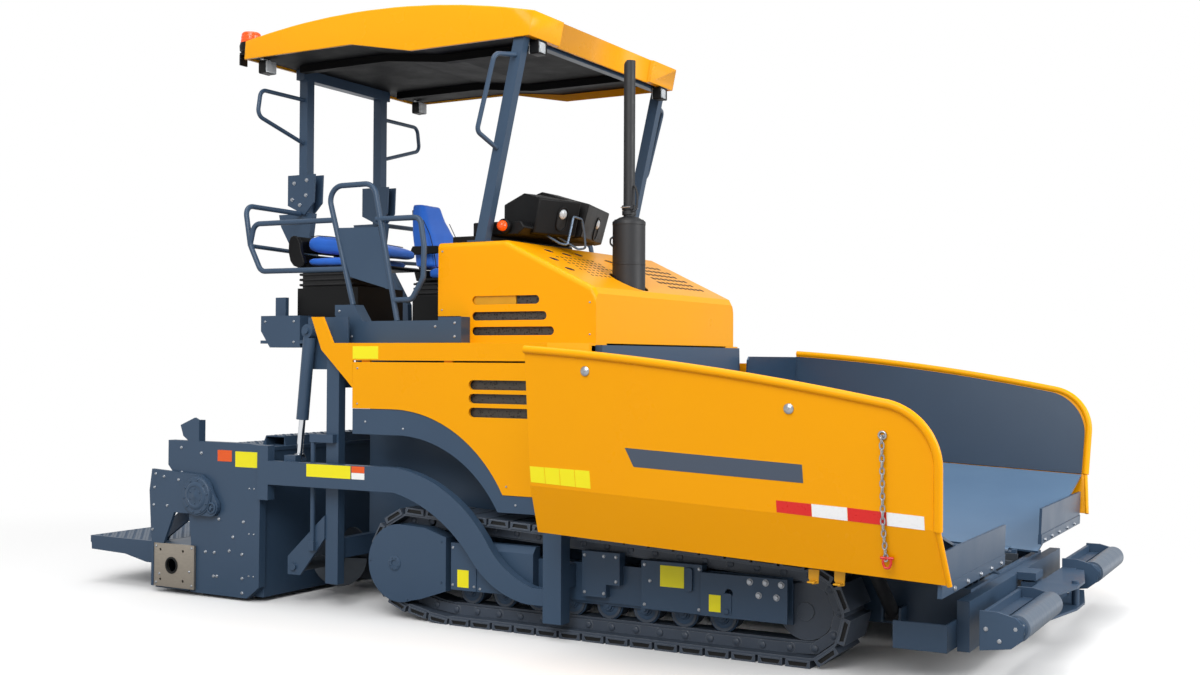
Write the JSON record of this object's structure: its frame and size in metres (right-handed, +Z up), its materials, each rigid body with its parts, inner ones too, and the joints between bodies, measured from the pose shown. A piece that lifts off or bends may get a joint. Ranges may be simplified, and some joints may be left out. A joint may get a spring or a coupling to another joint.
{
  "type": "tracked asphalt paver",
  "caption": "Tracked road paver: feed hopper with folding wings, push rollers, slat conveyors, augers, platform under a canopy, and a towed screed with sliding extensions",
  "frame": {"origin": "on the ground under the middle of the machine's outer box", "axes": "+X forwards to the hopper, +Y to the machine's left, +Z up"},
  "size_m": [6.184, 3.7482, 3.6848],
  "materials": {
    "yellow_paint": "gloss enamel",
    "yellow_gelcoat": "gloss gelcoat on glass fibre",
    "slate_paint": "semi-gloss enamel",
    "black_paint": "heat-proof matt paint",
    "track_steel": "painted steel, worn at the edges",
    "wear_steel": "rolled wear plate",
    "roller_steel": "turned steel",
    "bright_steel": "machined bright",
    "lamp_glass": "clear lamp lens",
    "amber_lens": "clear amber lens",
    "chrome_rod": "ground and chromed",
    "black_plastic": "moulded, fine grain",
    "seat_cloth": "coated cloth"
  },
  "bodies": {
    "root": {"track_left": "track_steel", "track_right": "track_steel", "track_frames": "slate_paint", "work_lamps": "lamp_glass", "beacon": "amber_lens", "track_wheels": "track_steel", "chassis": "slate_paint", "rear_columns": "slate_paint", "conveyor_floor": "wear_steel", "conveyor_slats": "wear_steel", "hopper_back": "slate_paint", "engine": "black_paint", "wing_hinges": "slate_paint", "side_panels": "yellow_paint", "fenders": "slate_paint", "ledges": "yellow_paint", "hood": "yellow_paint", "exhaust": "black_paint", "platform": "slate_paint", "handrails": "slate_paint", "seat_bases": "black_plastic", "seats": "seat_cloth", "console": "black_plastic", "canopy_roof": "yellow_gelcoat", "canopy_lining": "black_plastic", "canopy_frame": "slate_paint", "push_support": "slate_paint", "foot_trays": "slate_paint", "auger_support": "slate_paint", "tow_guides": "slate_paint"},
    "wing_left": {"wing_skin_left": "yellow_paint", "wing_liner_left": "slate_paint", "wing_apron_left": "slate_paint"},
    "ram_barrel_left": {"ram_barrel_left": "black_paint"},
    "ram_rod_left": {"ram_rod_left": "chrome_rod"},
    "lift_barrel_left": {"lift_barrel_left": "slate_paint"},
    "lift_rod_left": {"lift_rod_left": "chrome_rod"},
    "push_roller_left": {"push_roller_left": "roller_steel"},
    "auger_left": {"auger_left": "wear_steel"},
    "extension_left": {"extension_box_left": "slate_paint", "extension_end_left": "bright_steel", "extension_carrier_left": "slate_paint"},
    "wing_right": {"wing_skin_right": "yellow_paint", "wing_liner_right": "slate_paint", "wing_apron_right": "slate_paint"},
    "ram_barrel_right": {"ram_barrel_right": "black_paint"},
    "ram_rod_right": {"ram_rod_right": "chrome_rod"},
    "lift_barrel_right": {"lift_barrel_right": "slate_paint"},
    "lift_rod_right": {"lift_rod_right": "chrome_rod"},
    "push_roller_right": {"push_roller_right": "roller_steel"},
    "auger_right": {"auger_right": "wear_steel"},
    "extension_right": {"extension_box_right": "slate_paint", "extension_end_right": "bright_steel", "extension_carrier_right": "slate_paint"},
    "push_beam": {"push_beam": "slate_paint"},
    "screed": {"tow_arm_left": "slate_paint", "tow_arm_right": "slate_paint", "screed_frame": "slate_paint", "screed_steps": "slate_paint"}
  },
  "joints": [
    {"name": "wing_fold_left", "type": "hinge", "parent": "root", "child": "wing_left", "pos_m": [0.7, 0.43, 0.5], "axis": [0.999, 0, -0.0454], "range_deg": [0, 45]},
    {"name": "ram_swing_left", "type": "hinge", "parent": "root", "child": "ram_barrel_left", "pos_m": [2.32992, 0.885, 0.2408], "axis": [0.999, 0, -0.0454], "range_deg": [-1, 48.81]},
    {"name": "ram_extend_left", "type": "slide", "parent": "ram_barrel_left", "child": "ram_rod_left", "axis": [0.0278, 0.7894, 0.6133], "range_m": [-0.005, 0.3789]},
    {"name": "wing_fold_right", "type": "hinge", "parent": "root", "child": "wing_right", "pos_m": [0.7, -0.43, 0.5], "axis": [-0.999, 0, 0.0454], "range_deg": [0, 45]},
    {"name": "ram_swing_right", "type": "hinge", "parent": "root", "child": "ram_barrel_right", "pos_m": [2.32992, -0.885, 0.2408], "axis": [-0.999, 0, 0.0454], "range_deg": [-1, 48.81]},
    {"name": "ram_extend_right", "type": "slide", "parent": "ram_barrel_right", "child": "ram_rod_right", "axis": [0.0278, -0.7894, 0.6133], "range_m": [-0.005, 0.3789]},
    {"name": "screed_lift", "type": "hinge", "parent": "root", "child": "screed", "pos_m": [0.587, 0, 0.225], "axis": [0, 1, 0], "range_deg": [0, 6]},
    {"name": "lift_swing_left", "type": "hinge", "parent": "root", "child": "lift_barrel_left", "pos_m": [-1.243, 1.18, 1.674], "axis": [0, 1, 0], "range_deg": [-6.81, 1]},
    {"name": "lift_extend_left", "type": "slide", "parent": "lift_barrel_left", "child": "lift_rod_left", "axis": [-0.1, 0, -0.995], "range_m": [-0.2049, 0.005]},
    {"name": "extend_left", "type": "slide", "parent": "screed", "child": "extension_left", "axis": [0, 1, 0], "range_m": [0, 1.05]},
    {"name": "auger_turn_left", "type": "hinge", "parent": "root", "child": "auger_left", "pos_m": [-1.32, 0.66, 0.235], "axis": [0, 1, 0], "continuous": true},
    {"name": "push_roller_turn_left", "type": "hinge", "parent": "push_beam", "child": "push_roller_left", "pos_m": [3.031, 0.95, 0.31], "axis": [0, 1, 0], "continuous": true},
    {"name": "lift_swing_right", "type": "hinge", "parent": "root", "child": "lift_barrel_right", "pos_m": [-1.243, -1.18, 1.674], "axis": [0, 1, 0], "range_deg": [-6.81, 1]},
    {"name": "lift_extend_right", "type": "slide", "parent": "lift_barrel_right", "child": "lift_rod_right", "axis": [-0.1, 0, -0.995], "range_m": [-0.2049, 0.005]},
    {"name": "extend_right", "type": "slide", "parent": "screed", "child": "extension_right", "axis": [0, -1, 0], "range_m": [0, 1.05]},
    {"name": "auger_turn_right", "type": "hinge", "parent": "root", "child": "auger_right", "pos_m": [-1.32, -0.66, 0.235], "axis": [0, 1, 0], "continuous": true},
    {"name": "push_roller_turn_right", "type": "hinge", "parent": "push_beam", "child": "push_roller_right", "pos_m": [3.031, -0.95, 0.31], "axis": [0, 1, 0], "continuous": true},
    {"name": "push_beam_swing", "type": "hinge", "parent": "root", "child": "push_beam", "pos_m": [2.8, 0, 0.265], "axis": [0, 0, 1], "range_deg": [-5, 5]}
  ],
  "couplings": [
    {"joint": "ram_swing_left", "follows": "wing_fold_left", "ratio": 1.0624},
    {"joint": "ram_extend_left", "follows": "wing_fold_left", "m_per_rad": 0.4761},
    {"joint": "ram_swing_right", "follows": "wing_fold_right", "ratio": 1.0624},
    {"joint": "ram_extend_right", "follows": "wing_fold_right", "m_per_rad": 0.4761},
    {"joint": "lift_swing_left", "follows": "screed_lift", "ratio": -0.9689},
    {"joint": "lift_extend_left", "follows": "screed_lift", "m_per_rad": -1.9086},
    {"joint": "lift_swing_right", "follows": "screed_lift", "ratio": -0.9689},
    {"joint": "lift_extend_right", "follows": "screed_lift", "m_per_rad": -1.9086}
  ]
}
